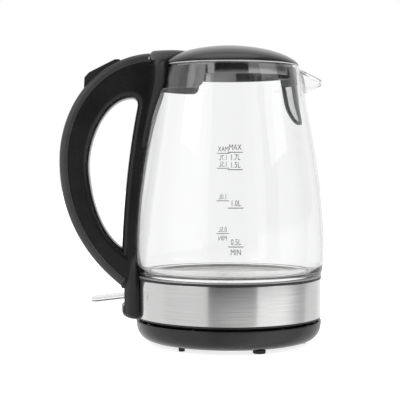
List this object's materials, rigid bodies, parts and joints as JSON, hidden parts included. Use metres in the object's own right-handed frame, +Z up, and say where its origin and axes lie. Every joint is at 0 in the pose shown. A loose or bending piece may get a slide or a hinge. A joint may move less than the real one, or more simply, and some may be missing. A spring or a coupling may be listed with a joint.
{
  "type": "electric kettle",
  "caption": "Clear glass jug kettle on a round power base, with a curved handle, a hinged domed lid, a pouring spout with a filter and a rocker lever.",
  "frame": {"origin": "on the table under the jug's axis, in the plane of the feet's undersides", "axes": "+Z up along the jug's axis, +X towards the spout, so the handle points to -X"},
  "size_m": [0.2159, 0.1562, 0.243],
  "materials": {
    "black_plastic": "satin moulded black plastic with a fine grain",
    "handle_plastic": "satin black plastic, worn a little smoother on the grip",
    "lid_plastic": "satin black plastic",
    "button_plastic": "matt black plastic",
    "rubber_feet": "matt black rubber",
    "zinc_steel": "zinc-plated steel",
    "spring_steel": "drawn spring wire",
    "brass": "bare brass, slightly tarnished",
    "inner_plastic": "off-white heat-resistant plastic",
    "wire_insulation": "silicone wire insulation",
    "pad_plastic": "grey rubber pad",
    "brushed_steel": "stainless steel brushed round the band",
    "black_silicone": "black silicone",
    "clear_silicone": "translucent silicone",
    "clear_glass": "clear borosilicate glass",
    "plate_steel": "stainless steel, turned finish",
    "aluminium": "cast aluminium",
    "element_sheath": "aluminium sheath, heat-stained",
    "bimetal": "bimetal strip",
    "led_lens": "clear epoxy lens",
    "polished_steel": "polished stainless steel",
    "clear_plastic": "clear acrylic",
    "filter_plastic": "grey plastic, seen through the glass",
    "filter_gauze": "fine stainless gauze"
  },
  "bodies": {
    "power_base": {"base_top_shell": "black_plastic", "base_bottom_plate": "black_plastic", "base_feet_large": "rubber_feet", "base_feet_small": "rubber_feet", "base_screws": "zinc_steel", "connector_post": "black_plastic", "connector_pin": "brass", "connector_rings": "brass", "base_terminal_block": "inner_plastic", "base_wires": "wire_insulation"},
    "socket": {"connector_socket": "inner_plastic", "socket_contacts": "brass"},
    "jug": {"jug_bottom_cover": "black_plastic", "jug_pads": "pad_plastic", "bottom_screws": "zinc_steel", "band_carrier": "inner_plastic", "steel_band": "brushed_steel", "glass_gasket": "black_silicone", "glass_body": "clear_glass", "heating_plate": "plate_steel", "plate_seal": "clear_silicone", "heat_spreader": "aluminium", "heating_element": "element_sheath", "element_terminals": "zinc_steel", "control_unit": "inner_plastic", "control_bimetals": "bimetal", "steam_switch": "inner_plastic", "steam_bimetal": "bimetal", "lever_pin": "zinc_steel", "indicator_led": "led_lens", "lamp_wires": "wire_insulation", "steam_tube": "clear_silicone", "handle_body": "handle_plastic", "handle_cover": "handle_plastic", "handle_screws": "zinc_steel", "rim_bracket": "polished_steel", "hinge_pin": "zinc_steel", "lid_spring": "spring_steel", "button_spring": "spring_steel"},
    "lid": {"lid_cover": "lid_plastic", "hinge_cover": "lid_plastic", "lid_skirt": "polished_steel", "lid_seal": "clear_silicone", "lid_screws": "zinc_steel"},
    "release_button": {"lid_button": "button_plastic"},
    "lid_latch": {"lid_latch": "inner_plastic"},
    "switch_lever": {"switch_lever": "clear_plastic"},
    "spout_filter": {"filter_frame": "filter_plastic", "filter_mesh": "filter_gauze"}
  },
  "joints": [
    {"name": "jug_lift", "type": "slide", "parent": "power_base", "child": "socket", "axis": [0, 0, 1], "range_m": [0, 0.06]},
    {"name": "jug_turn", "type": "hinge", "parent": "socket", "child": "jug", "pos_m": [0, 0, 0.02], "axis": [0, 0, 1], "continuous": true},
    {"name": "lid_hinge", "type": "hinge", "parent": "jug", "child": "lid", "pos_m": [-0.06, 0, 0.233], "axis": [0, -1, 0], "range_deg": [0, 75]},
    {"name": "button_press", "type": "slide", "parent": "jug", "child": "release_button", "axis": [0.6, 0, -0.8], "range_m": [0, 0.003], "stiffness_N_per_m": 300, "springref_m": -0.003, "deforming": ["button_spring"]},
    {"name": "latch_slide", "type": "slide", "parent": "jug", "child": "lid_latch", "axis": [-1, 0, 0], "range_m": [0, 0.0024]},
    {"name": "lever_rock", "type": "hinge", "parent": "jug", "child": "switch_lever", "pos_m": [-0.07, 0, 0.0405], "axis": [0, -1, 0], "range_deg": [0, 9]},
    {"name": "filter_release", "type": "slide", "parent": "jug", "child": "spout_filter", "axis": [0, 0, -1], "range_m": [0, 0.05]}
  ],
  "couplings": [
    {"joint": "latch_slide", "follows": "button_press", "ratio": 0.8}
  ]
}
